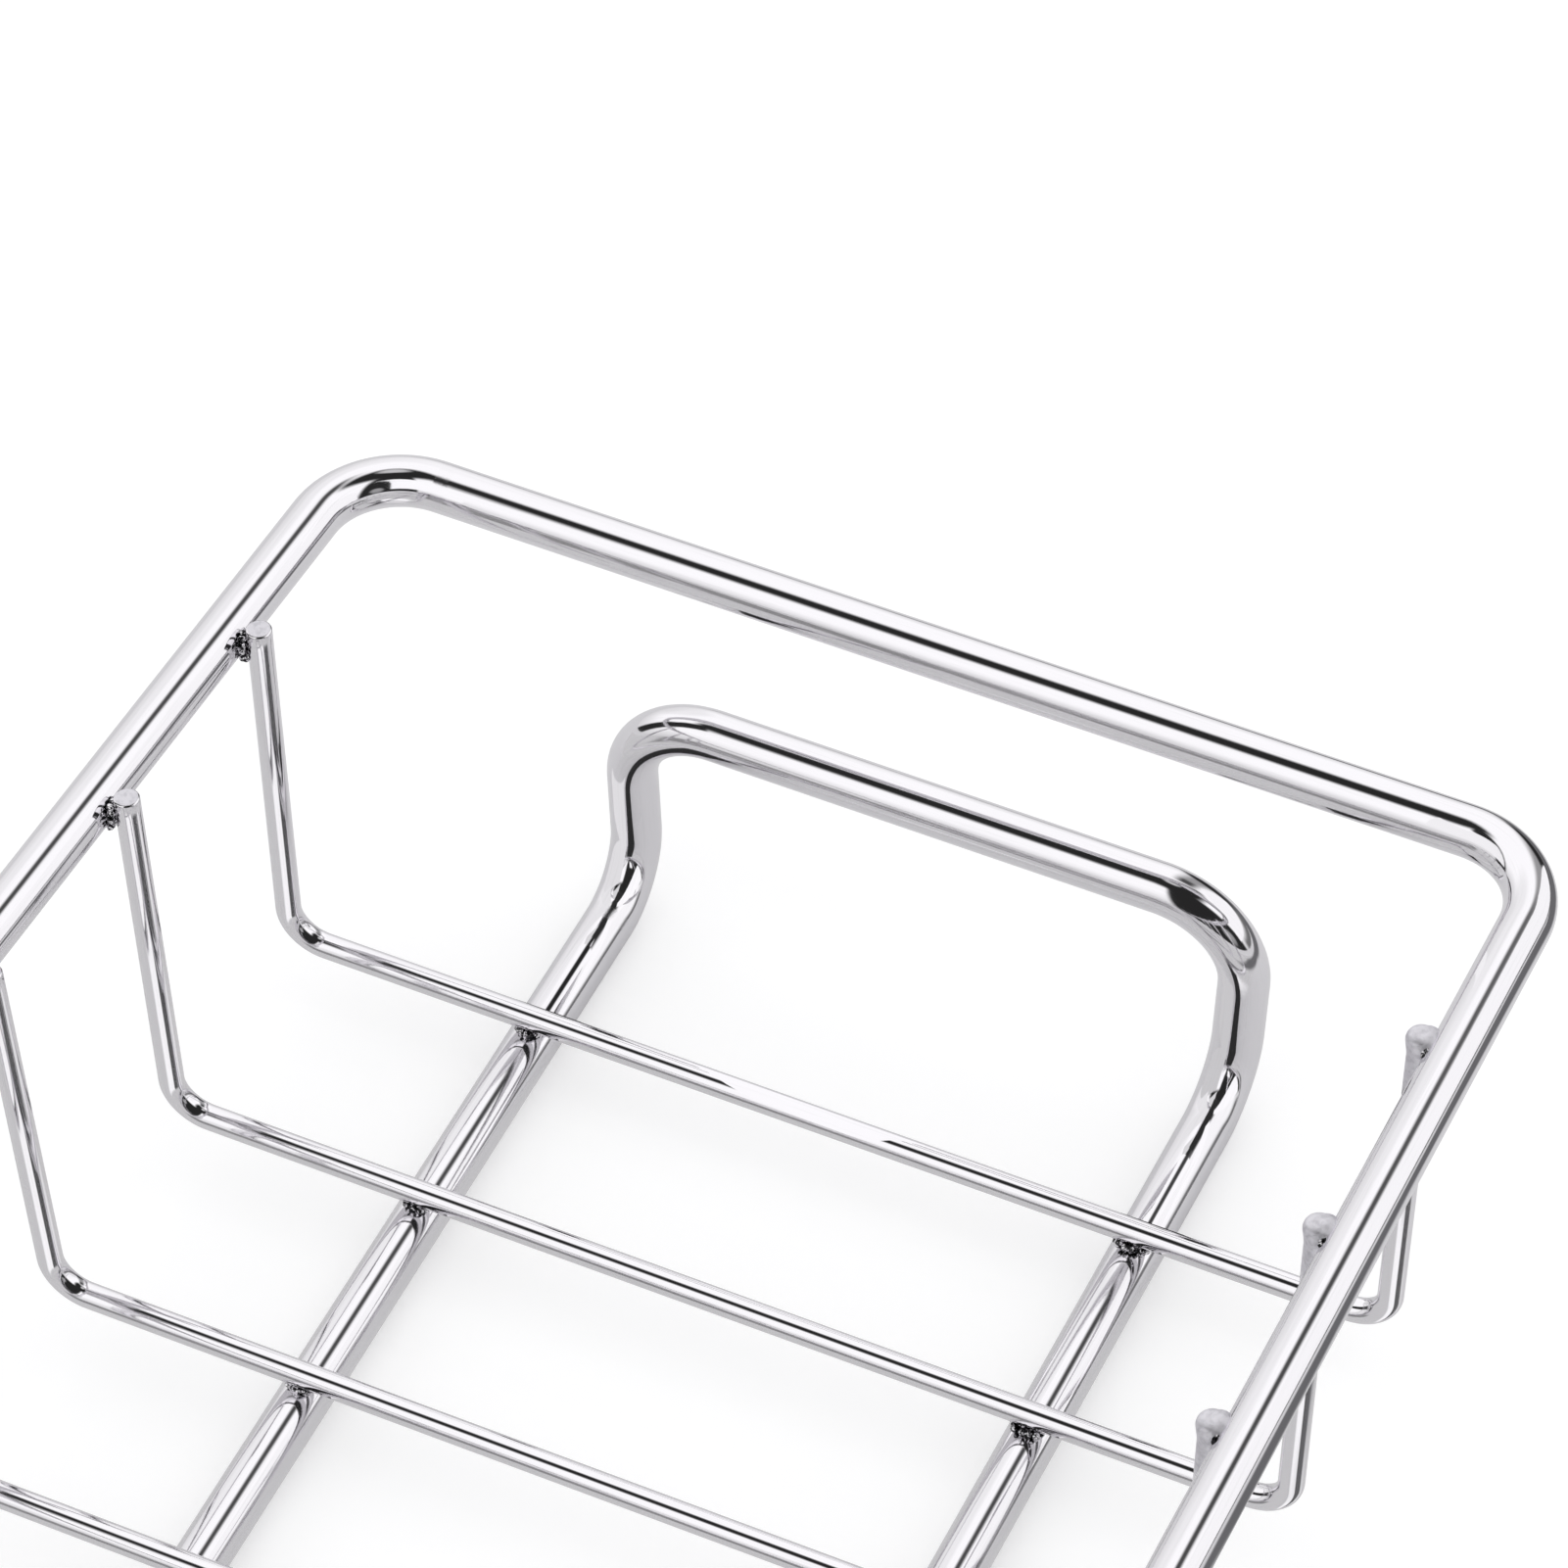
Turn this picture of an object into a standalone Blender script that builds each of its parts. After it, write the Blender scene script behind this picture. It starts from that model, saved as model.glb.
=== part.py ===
"""Faucet organizer rack: a wire rim, a base loop below it and U-shaped cross wires between them.

Metres, +Z up. The rack's long axis is Y, and it rests on z = 0 on the two long bars of the
base loop. Each end of the rack is a basket, and the bay between the baskets is open from top
to bottom for the faucet. Every contact between two wires is a resistance weld.
"""

import math

import bpy
from mathutils import Quaternion, Vector

# Wires, measured across their flats
THICK_WIRE = 0.0050
THIN_WIRE = 0.0025
CUT_EDGE = 0.0002
WELD_GAP = 0.0003

# Rim, measured between centre lines
RIM_LENGTH = 0.3000
RIM_WIDTH = 0.1225
RIM_CORNER_RADIUS = 0.0090
RIM_SPREAD = math.radians(2.66)
RIM_KNEE_RADIUS = 0.3000

# Base loop, measured between centre lines
LOOP_WIDTH = 0.0631
GUARD_WIDTH = 0.0648
GUARD_SETBACK = 0.0016
GUARD_RISE = 0.0237
FOOT_BEND_RADIUS = 0.0070
GUARD_CORNER_RADIUS = 0.0090

# Cross wires, measured between centre lines
BASKET_DEPTH = 0.0395
WIRES_PER_BASKET = 4
FIRST_WIRE_INSET = 0.0260
WIRE_PITCH = 0.0240
FLOOR_BEND_RADIUS = 0.0040
LEFT_END_RISE = 0.0026
RIGHT_END_RISE = 0.0013

# Facets: an even number round each wire, and the largest turn between two rings of a bend
WIRE_SIDES = 12
BEND_STEP = math.radians(9)

# Polished stainless steel
STEEL_COLOUR = (0.80, 0.79, 0.80, 1.0)
STEEL_METALLIC = 1.0
THICK_ROUGHNESS = 0.08
THIN_ROUGHNESS = 0.12

# Heights of the centre lines above the surface that the rack stands on
BAR_HEIGHT = THICK_WIRE / 2
FLOOR_HEIGHT = BAR_HEIGHT + THICK_WIRE / 2 + WELD_GAP + THIN_WIRE / 2
RIM_HEIGHT = FLOOR_HEIGHT + BASKET_DEPTH
GUARD_HEIGHT = BAR_HEIGHT + GUARD_RISE


def clear_scene():
    for obj in list(bpy.data.objects):
        bpy.data.objects.remove(obj)


def steel(name, roughness):
    """A polished steel material of its own for one kind of wire."""
    material = bpy.data.materials.new(name)
    material.use_nodes = True
    shader = material.node_tree.nodes["Principled BSDF"]
    shader.inputs["Base Color"].default_value = STEEL_COLOUR
    shader.inputs["Metallic"].default_value = STEEL_METALLIC
    shader.inputs["Roughness"].default_value = roughness
    return material


def bend(before, corner, after, radius):
    """The points of the arc that rounds one corner of a centre line."""
    back = (before - corner).normalized()
    ahead = (after - corner).normalized()
    turn = math.pi - back.angle(ahead)
    start = corner + back * radius * math.tan(turn / 2)
    centre = corner + (back + ahead).normalized() * radius / math.cos(turn / 2)
    axis = ahead.cross(back)
    steps = math.ceil(turn / BEND_STEP)
    turns = [Quaternion(axis, turn * step / steps) for step in range(steps + 1)]
    return [centre + spin @ (start - centre) for spin in turns]


def closed_path(corners, radii):
    """A closed centre line with each corner rounded by its own radius."""
    path = []
    for index, corner in enumerate(corners):
        after = corners[(index + 1) % len(corners)]
        path += bend(corners[index - 1], corner, after, radii[index])
    return path


def rim_corners():
    """Far left, left knee, near left, near right and far right, as seen from the near end."""
    side = RIM_WIDTH / 2
    end = RIM_LENGTH / 2
    knee = side + end * math.tan(RIM_SPREAD)
    outline = [(-side, end), (-knee, 0), (-side, -end), (side, -end), (side, end)]
    return [Vector((x, y, RIM_HEIGHT)) for x, y in outline]


def rim_path():
    corner = RIM_CORNER_RADIUS
    return closed_path(rim_corners(), [corner, RIM_KNEE_RADIUS, corner, corner, corner])


def guard_corners(end):
    """Where the base loop turns at one end, from its left bar over the guard to its right bar."""
    bar = LOOP_WIDTH / 2
    guard = GUARD_WIDTH / 2
    outline = [(-bar, BAR_HEIGHT), (-guard, GUARD_HEIGHT), (guard, GUARD_HEIGHT), (bar, BAR_HEIGHT)]
    return [Vector((x, end, z)) for x, z in outline]


def loop_path():
    """The base loop's centre line. It starts half way along a bar, which keeps both bars' facets level."""
    end = RIM_LENGTH / 2 - GUARD_SETBACK
    corners = guard_corners(end) + guard_corners(-end)[::-1]
    radii = [FOOT_BEND_RADIUS, GUARD_CORNER_RADIUS, GUARD_CORNER_RADIUS, FOOT_BEND_RADIUS] * 2
    return [Vector((-LOOP_WIDTH / 2, 0, BAR_HEIGHT))] + closed_path(corners, radii)


def leg_reach():
    """From the rim's centre line to the centre line of a leg that is welded to its inner side."""
    return THICK_WIRE / 2 + WELD_GAP + THIN_WIRE / 2


def cross_wire_path(y):
    """A U: down from the rim's left side, across over the base loop and up to its right side."""
    right = RIM_WIDTH / 2 - leg_reach()
    spread = (RIM_LENGTH / 2 - abs(y)) * math.tan(RIM_SPREAD)
    left = RIM_WIDTH / 2 + spread - leg_reach() / math.cos(RIM_SPREAD)
    left_floor = Vector((-right, y, FLOOR_HEIGHT))
    right_floor = Vector((right, y, FLOOR_HEIGHT))
    left_weld = Vector((-left, y, RIM_HEIGHT))
    leg = left_weld - left_floor
    left_end = left_weld + leg * (LEFT_END_RISE / leg.z)
    right_end = Vector((right, y, RIM_HEIGHT + RIGHT_END_RISE))
    path = [left_end]
    path += bend(left_end, left_floor, right_floor, FLOOR_BEND_RADIUS)
    path += bend(left_floor, right_floor, right_end, FLOOR_BEND_RADIUS)
    return path + [right_end]


def wire(name, path, across, material, closed):
    """A round wire along a centre line. Its facets face the axes, so it measures true across."""
    curve = bpy.data.curves.new(name, "CURVE")
    curve.dimensions = "3D"
    curve.bevel_depth = across / 2 / math.cos(math.pi / WIRE_SIDES)
    curve.bevel_resolution = WIRE_SIDES // 2 - 2
    curve.use_fill_caps = True
    curve.materials.append(material)
    spline = curve.splines.new("POLY")
    spline.points.add(len(path) - 1)
    spline.use_cyclic_u = closed
    for point, place in zip(spline.points, path):
        point.co = (*place, 1)
        point.tilt = math.pi / WIRE_SIDES
    return bpy.data.objects.new(name, curve)


def cut_wire(name, path, across, material):
    """An open wire whose two cut ends have their edges broken."""
    first = path[0] + (path[1] - path[0]).normalized() * CUT_EDGE
    last = path[-1] + (path[-2] - path[-1]).normalized() * CUT_EDGE
    obj = wire(name, [path[0], first] + path[1:-1] + [last, path[-1]], across, material, False)
    points = obj.data.splines[0].points
    for end in (points[0], points[-1]):
        end.radius = 1 - CUT_EDGE / (across / 2)
    return obj


def cross_wire_places():
    """Distances along Y from the far basket's first wire to the near basket's."""
    first = RIM_LENGTH / 2 - FIRST_WIRE_INSET
    far = [first - WIRE_PITCH * index for index in range(WIRES_PER_BASKET)]
    return far + [-y for y in reversed(far)]


def build():
    rack = bpy.data.collections.new("faucet_organizer_rack")
    bpy.context.scene.collection.children.link(rack)
    cross_steel = steel("cross_wire_steel", THIN_ROUGHNESS)
    wires = [
        wire("rim_wire", rim_path(), THICK_WIRE, steel("rim_steel", THICK_ROUGHNESS), True),
        wire("base_loop", loop_path(), THICK_WIRE, steel("base_loop_steel", THICK_ROUGHNESS), True),
    ]
    for number, y in enumerate(cross_wire_places(), 1):
        wires.append(cut_wire(f"cross_wire_{number}", cross_wire_path(y), THIN_WIRE, cross_steel))

    # The rim's knee sets the rack's widest place, and the rack stands centred on its whole width
    across = [place.x for place in rim_path()]
    for obj in wires:
        obj.location.x = -(min(across) + max(across)) / 2
        rack.objects.link(obj)


clear_scene()
build()
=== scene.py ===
"""Faucet organizer rack: its polished wires, their welds and the studio that it stands in.

Metres, +Z up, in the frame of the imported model. Each wire made here stands for the CAD wire of
the same name. The wires' gauges, the rim's length and the cross wires' places are read from the
CAD wires' own boxes.
"""

import math
import bpy
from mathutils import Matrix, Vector


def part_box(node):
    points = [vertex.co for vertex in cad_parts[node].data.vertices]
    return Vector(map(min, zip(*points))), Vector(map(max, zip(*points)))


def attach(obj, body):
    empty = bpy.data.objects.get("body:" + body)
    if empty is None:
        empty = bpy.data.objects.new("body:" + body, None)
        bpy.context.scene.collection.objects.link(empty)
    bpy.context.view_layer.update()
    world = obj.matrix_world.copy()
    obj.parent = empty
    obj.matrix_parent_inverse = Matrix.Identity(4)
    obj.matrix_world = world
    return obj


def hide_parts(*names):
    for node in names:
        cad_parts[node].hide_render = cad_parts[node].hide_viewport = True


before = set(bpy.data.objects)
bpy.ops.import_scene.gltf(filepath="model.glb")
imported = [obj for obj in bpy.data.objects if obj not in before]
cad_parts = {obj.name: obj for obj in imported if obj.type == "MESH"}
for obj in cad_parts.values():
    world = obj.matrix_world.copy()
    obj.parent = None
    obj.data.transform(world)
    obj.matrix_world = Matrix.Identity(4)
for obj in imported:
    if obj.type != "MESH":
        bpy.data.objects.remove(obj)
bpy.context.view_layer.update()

bl_info = {
    "name": "Faucet organizer rack",
    "version": (1, 0, 0),
    "blender": (4, 5, 0),
    "location": "3D View > Sidebar > Rack",
    "description": "Builds a welded rack of polished steel wire and the studio round it",
    "category": "Object",
}

RIM_LOW, RIM_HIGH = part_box("rim_wire")
CROSS_WIRES = sorted(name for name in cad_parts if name.startswith("cross_wire_"))
CROSS_BOXES = [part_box(name) for name in CROSS_WIRES]
THICK_WIRE = RIM_HIGH.z - RIM_LOW.z
THIN_WIRE = CROSS_BOXES[0][1].y - CROSS_BOXES[0][0].y


def length(name, description, default, **limits):
    """A property that holds a distance in metres."""
    return bpy.props.FloatProperty(
        name=name,
        description=description,
        default=default,
        subtype="DISTANCE",
        unit="LENGTH",
        precision=5,
        **limits,
    )


def angle(name, description, degrees):
    """A property that holds an angle."""
    return bpy.props.FloatProperty(
        name=name, description=description, default=math.radians(degrees), subtype="ANGLE"
    )


def share(name, description, default, highest=1.0):
    """A property that holds a plain number from nothing upwards."""
    return bpy.props.FloatProperty(
        name=name, description=description, default=default, min=0.0, max=highest
    )


def colour(name, description, default):
    """A property that holds a linear colour."""
    return bpy.props.FloatVectorProperty(
        name=name, description=description, default=default, subtype="COLOR", min=0.0, max=1.0
    )


class RackSizes(bpy.types.PropertyGroup):
    """Sizes of the wires and of the welds between them."""

    thick_wire: length("Thick wire", "Diameter of the rim and the base loop", THICK_WIRE)
    thin_wire: length("Thin wire", "Diameter of the cross wires", THIN_WIRE)
    weld_gap: length("Weld gap", "Space between two wires that is bridged by a weld", 0.0003)

    rim_length: length("Rim length", "Between the end bars", RIM_HIGH.y - RIM_LOW.y - THICK_WIRE)
    rim_width: length("Rim width", "Between the long sides, at the ends", 0.1225)
    rim_corner: length("Rim corner", "Bend radius of the rim's corners", 0.0090)
    rim_spread: angle("Rim spread", "How far the left side leans outwards", 2.66)
    rim_knee: length("Rim knee", "Bend radius half way along the left side", 0.3000)

    loop_width: length("Loop width", "Between the two bars of the base loop", 0.0631)
    guard_width: length("Guard width", "Between the corners of a guard", 0.0648)
    guard_setback: length("Guard setback", "From a guard to the end of the rim", 0.0016)
    guard_rise: length("Guard rise", "From the bars up to a guard", 0.0237)
    foot_bend: length("Foot bend", "Bend radius where a bar turns up", 0.0070)
    guard_corner: length("Guard corner", "Bend radius of a guard's corners", 0.0090)

    basket_depth: length("Basket depth", "From the floor wires up to the rim", 0.0395)
    floor_bend: length("Floor bend", "Bend radius of a cross wire's lower corners", 0.0040)
    left_end_rise: length("Left end rise", "How far the left ends stand above the rim", 0.0026)
    right_end_rise: length("Right end rise", "How far the right ends stand above the rim", 0.0018)

    ring_spacing: length("Ring spacing", "Between two rings of faces on a straight", 0.0015)
    wire_sides: bpy.props.IntProperty(
        name="Wire sides", description="Faces round a thick wire", default=40, min=8, max=96
    )
    bend_rings: bpy.props.IntProperty(
        name="Bend rings", description="Rings of faces in one bend", default=24, min=4, max=64
    )

    weld_sink: length("Weld sink", "How far the right legs are pressed into the rim", 0.0009)
    flash_reach: length(
        "Flash reach", "From a weld's middle to its edge, along the thin wire", 0.0016
    )
    flash_width: length(
        "Flash width", "From a weld's middle to its edge, along the thick wire", 0.0014
    )
    bead_radius: length("Bead radius", "Radius of one bead of squeezed-out metal", 0.0004)
    beads_per_weld: bpy.props.IntProperty(
        name="Beads per weld", description="Beads round one weld", default=14, min=3, max=40
    )


class SteelFinish(bpy.types.PropertyGroup):
    """Colour and polish of the steel."""

    polished: colour("Polished", "Colour of the polished wire", (0.84, 0.825, 0.855))
    drawn: colour("Drawn", "Colour of the faint lines that drawing leaves", (0.74, 0.73, 0.75))
    brushed: colour("Brushed", "Colour of the ground and blasted places", (0.80, 0.785, 0.83))
    polish: share("Polish", "Roughness of the polished wire", 0.07)
    brushed_roughness: share("Brushed roughness", "Roughness of the ground places", 0.46)
    mottled: colour(
        "Mottled", "Colour of the darker grains in the brushed places", (0.55, 0.54, 0.58)
    )
    # Dark colour of the weld scale, also used for the painted shade in the gap under each right end
    weld_scale_and_shade: colour("Burnt", "Colour of the scale that is left at the welds", (0.02, 0.02, 0.022))
    ripple: share("Ripple", "Depth of the polish's ripple, as a share of the wire", 0.0005)
    drawn_depth: share("Drawn depth", "Depth of the drawing lines, as a share of the wire", 0.00006)


class Studio(bpy.types.PropertyGroup):
    """Camera, floor and the light round the rack."""

    aim: bpy.props.FloatVectorProperty(
        name="Aim",
        description="The point in the middle of the picture",
        default=(-0.01018, 0.14285, 0.02938),
        subtype="TRANSLATION",
        unit="LENGTH",
        precision=5,
    )
    azimuth: angle("Azimuth", "Turn of the camera round the rack from its near end", 24.887)
    elevation: angle("Elevation", "Height of the camera above the floor as an angle", 47.389)
    distance: length("Distance", "From the camera to the aim", 0.77593)
    lens: bpy.props.FloatProperty(
        name="Lens", description="Focal length in millimetres", default=188.18, min=10.0, max=400.0
    )

    floor: colour("Floor", "Colour of the floor", (0.68, 0.68, 0.685))
    floor_lift: share("Floor lift", "What brings the floor up to white for the camera", 0.40)
    lift_in_steel: share("Lift in steel", "Share of the lift that the steel reflects", 0.1)
    table_gloss: share("Table gloss", "Share of the table that mirrors the room in the steel", 0.8)
    table_reach: length(
        "Table reach", "From the rack's far end to the table's slanting edge", 0.105
    )
    card_bottom: length("Card bottom", "Height of the white card's lower edge", 0.055)
    panel_light: share("Panel light", "Strength of the white panels round the rack", 1.16, 4.0)
    low_light: share("Low light", "Share of it that is left at the horizon", 0.68)
    seam_light: share("Seam light", "Share of it in the gaps between the panels", 0.02)


class Socket:
    """A number in a node tree, for which arithmetic adds the Math nodes."""

    def __init__(self, tree, output):
        self.tree = tree
        self.output = output

    def maths(self, operation, *values):
        return self.tree.add("ShaderNodeMath", {"operation": operation}, dict(enumerate(values)))

    def __add__(self, other):
        return self.maths("ADD", self, other)

    def __radd__(self, other):
        return self.maths("ADD", other, self)

    def __sub__(self, other):
        return self.maths("SUBTRACT", self, other)

    def __rsub__(self, other):
        return self.maths("SUBTRACT", other, self)

    def __mul__(self, other):
        return self.maths("MULTIPLY", self, other)

    def __rmul__(self, other):
        return self.maths("MULTIPLY", other, self)

    def __truediv__(self, other):
        return self.maths("DIVIDE", self, other)

    def __abs__(self):
        return self.maths("ABSOLUTE", self)


WHITE = (1.0, 1.0, 1.0, 1.0)


class Tree:
    """Adds nodes to a shader or geometry tree."""

    def __init__(self, nodes):
        self.nodes = nodes

    def node(self, kind, settings=None, sockets=None):
        """A node with its settings made first, and then its sockets' values and links."""
        node = self.nodes.nodes.new(kind)
        for name, value in (settings or {}).items():
            setattr(node, name, value)
        for name, value in (sockets or {}).items():
            if isinstance(value, Socket):
                self.nodes.links.new(value.output, node.inputs[name])
            else:
                node.inputs[name].default_value = value
        return node

    def add(self, kind, settings=None, sockets=None, output=0):
        """The same, when only one of the node's outputs is wanted."""
        return Socket(self, self.node(kind, settings, sockets).outputs[output])

    def split(self, vector):
        """The three numbers of a vector."""
        parts = self.node("ShaderNodeSeparateXYZ", sockets={0: vector})
        return [Socket(self, output) for output in parts.outputs]

    def joined(self, x, y, z):
        """A vector made of three numbers."""
        return self.add("ShaderNodeCombineXYZ", sockets={0: x, 1: y, 2: z})

    def rise(self, value, low, high):
        """A soft step from nothing at low to one at high."""
        settings = {"interpolation_type": "SMOOTHSTEP"}
        return self.add("ShaderNodeMapRange", settings, {0: value, 1: low, 2: high, 3: 0.0, 4: 1.0})

    def band(self, value, start, end):
        """One between two soft steps, and nothing before the first and after the second."""
        return self.rise(value, *start) * (1.0 - self.rise(value, *end))

    def towards(self, way, axes):
        """How far a place lies in a direction."""
        return sum(part * axis for part, axis in zip(way, axes))

    def blend(self, factor, first, second):
        """A colour between two colours."""
        settings = {"data_type": "RGBA"}
        return self.add("ShaderNodeMix", settings, {0: factor, 6: first, 7: second}, 2)

    def noise(self, vector, scale, detail=2.0):
        """Smooth noise between nothing and one."""
        sockets = {"Vector": vector, "Scale": scale, "Detail": detail}
        return self.add("ShaderNodeTexNoise", sockets=sockets)

    def glow(self, strength, tint=WHITE):
        """Light of a given strength."""
        return self.add("ShaderNodeEmission", sockets={"Color": tint, "Strength": strength})

    def rays(self, *kinds):
        """For each kind of ray, one where that ray sees the place."""
        path = self.node("ShaderNodeLightPath")
        return [Socket(self, path.outputs[f"Is {kind} Ray"]) for kind in kinds]

    def painted(self, name, output="Fac"):
        """An attribute of the mesh, as its material sees it."""
        return self.add("ShaderNodeAttribute", {"attribute_name": name}, output=output)

    def named(self, name, kind="FLOAT"):
        """An attribute of the geometry by its name."""
        return self.add("GeometryNodeInputNamedAttribute", {"data_type": kind}, {"Name": name})


def opaque(values):
    """A colour property as four numbers."""
    return (*values, 1.0)


def node_material(name):
    """A material with an empty tree, and that tree."""
    material = bpy.data.materials.new(name)
    material.use_nodes = True
    material.node_tree.nodes.clear()
    return material, Tree(material.node_tree)


def steel(name, finish, grain_seed, wire):
    """Polished drawn wire, with brushed places, dark weld scale and painted gap shade where the
    mesh says so.
    """
    material, tree = node_material(name)
    place = tree.add("ShaderNodeTexCoord", output="Object")
    along, brushed, weld_scale_and_shade = map(tree.painted, ("wire_length", "brushed", "weld_scale_and_shade"))
    across, up, _ = tree.split(tree.painted("wire_section", "Vector"))

    def drawn_out(shortening):
        return tree.joined(across, up, along * shortening + grain_seed)

    lines = tree.noise(drawn_out(shortening=0.02), scale=5200.0)
    ripple = tree.noise(drawn_out(shortening=0.35), scale=900.0, detail=1.0)
    clouds = tree.noise(place, scale=60.0)
    grit = tree.noise(place, scale=5200.0, detail=3.0)
    line_edge, cloud_edge = (0.50, 0.78), (0.5, 0.8)
    grain_edge, scale_edge = (0.42, 0.70), (0.44, 0.54)
    line_share, cloud_share, grain_share, grit_depth = 0.35, 0.12, 0.5, 0.00002

    base = tree.blend(
        tree.rise(lines, *line_edge) * line_share + tree.rise(clouds, *cloud_edge) * cloud_share,
        opaque(finish.polished),
        opaque(finish.drawn),
    )
    mottled = tree.blend(
        tree.rise(tree.noise(place, scale=1500.0), *grain_edge) * grain_share,
        opaque(finish.brushed),
        opaque(finish.mottled),
    )
    base = tree.blend(brushed, base, mottled)
    # Darkens the weld scale, and paints shade in the gap under each right end
    scale = tree.rise(tree.noise(place, scale=2400.0), *scale_edge)
    base = tree.blend(weld_scale_and_shade - 1.0 + scale, base, opaque(finish.weld_scale_and_shade))
    polish = finish.polish * (0.8 + 0.4 * clouds)
    roughness = polish + brushed * (finish.brushed_roughness - finish.polish + 0.12 * grit)
    height = (
        ripple * (finish.ripple * wire)
        + lines * (finish.drawn_depth * wire)
        + grit * brushed * grit_depth
    )
    bumped = tree.add(
        "ShaderNodeBump", sockets={"Strength": 1.0, "Distance": 1.0, "Height": height}
    )
    shader = tree.add(
        "ShaderNodeBsdfPrincipled",
        sockets={"Base Color": base, "Metallic": 1.0, "Roughness": roughness, "Normal": bumped},
    )
    tree.node("ShaderNodeOutputMaterial", sockets={"Surface": shader})
    return material


def geometry_tree(name, inputs):
    """A Geometry Nodes tree with named inputs, and those inputs as sockets by name."""
    nodes = bpy.data.node_groups.new(name, "GeometryNodeTree")
    nodes.interface.new_socket("Geometry", in_out="INPUT", socket_type="NodeSocketGeometry")
    for label, kind in inputs.items():
        nodes.interface.new_socket(label, in_out="INPUT", socket_type=f"NodeSocket{kind}")
    nodes.interface.new_socket("Geometry", in_out="OUTPUT", socket_type="NodeSocketGeometry")
    tree = Tree(nodes)
    given = tree.node("NodeGroupInput")
    return tree, {label: Socket(tree, given.outputs[label]) for label in ["Geometry", *inputs]}


def finish_tree(tree, geometry, material):
    """Ends a tree with real faces that carry their material."""
    geometry = tree.add("GeometryNodeRealizeInstances", sockets={"Geometry": geometry})
    geometry = tree.add(
        "GeometryNodeSetMaterial", sockets={"Geometry": geometry, "Material": material}
    )
    tree.node("NodeGroupOutput", sockets={"Geometry": geometry})
    return tree.nodes


def stored(tree, geometry, name, value, kind="FLOAT"):
    """Keeps a value on each point of the geometry under a name."""
    return tree.add(
        "GeometryNodeStoreNamedAttribute",
        {"data_type": kind, "domain": "POINT"},
        {"Geometry": geometry, "Name": name, "Value": value},
    )


def wire_tree():
    """Bends a wire along a line of stations and sweeps its round section along it."""
    tree, given = geometry_tree(
        "swept_wire",
        {
            "Wire": "Float",
            "Sides": "Int",
            "Bend rings": "Int",
            "Ring spacing": "Float",
            "Steel": "Material",
        },
    )
    line = tree.add("GeometryNodeMeshToCurve", sockets={"Mesh": given["Geometry"]})
    line = tree.add(
        "GeometryNodeFilletCurve",
        {"mode": "POLY"},
        {
            "Curve": line,
            "Count": given["Bend rings"],
            "Radius": tree.named("bend_radius"),
            "Limit Radius": False,
        },
    )
    here = tree.add("GeometryNodeInputPosition")
    after = tree.add("GeometryNodeOffsetPointInCurve", sockets={"Offset": 1}, output="Point Index")
    there = tree.add(
        "GeometryNodeFieldAtIndex", {"data_type": "FLOAT_VECTOR"}, {"Index": after, "Value": here}
    )
    stretch = tree.add(
        "ShaderNodeVectorMath", {"operation": "DISTANCE"}, {0: here, 1: there}, "Value"
    )
    rings = stretch / given["Ring spacing"]
    cuts = rings.maths("FLOOR", rings)
    line = tree.add("GeometryNodeSubdivideCurve", sockets={"Curve": line, "Cuts": cuts})
    travelled = tree.add("GeometryNodeSplineParameter", output="Length")
    line = stored(tree, line, "wire_length", travelled)

    section = tree.add(
        "GeometryNodeCurvePrimitiveCircle",
        {"mode": "RADIUS"},
        {"Resolution": given["Sides"], "Radius": given["Wire"] * 0.5},
    )
    section = stored(tree, section, "wire_section", here, "FLOAT_VECTOR")
    surface = tree.add(
        "GeometryNodeCurveToMesh",
        sockets={
            "Curve": line,
            "Profile Curve": section,
            "Scale": tree.named("swell"),
            "Fill Caps": True,
        },
    )
    corners = tree.add("GeometryNodeInputMeshFaceNeighbors", output="Vertex Count")
    more_than = {"data_type": "INT", "operation": "GREATER_THAN"}
    cap = tree.add("FunctionNodeCompare", more_than, {2: corners, 3: 4})
    round_side = tree.add("FunctionNodeBooleanMath", {"operation": "NOT"}, {0: cap})
    surface = tree.add(
        "GeometryNodeSetShadeSmooth",
        {"domain": "FACE"},
        {"Geometry": surface, "Shade Smooth": round_side},
    )
    return finish_tree(tree, surface, given["Steel"])


# How far the beads of a weld stray, how large they are and how uneven its surface is
BEAD_JITTER = 0.00014
BEAD_SIZES = (0.6, 1.25)
FLASH_DEPTH = 0.00012


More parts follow.
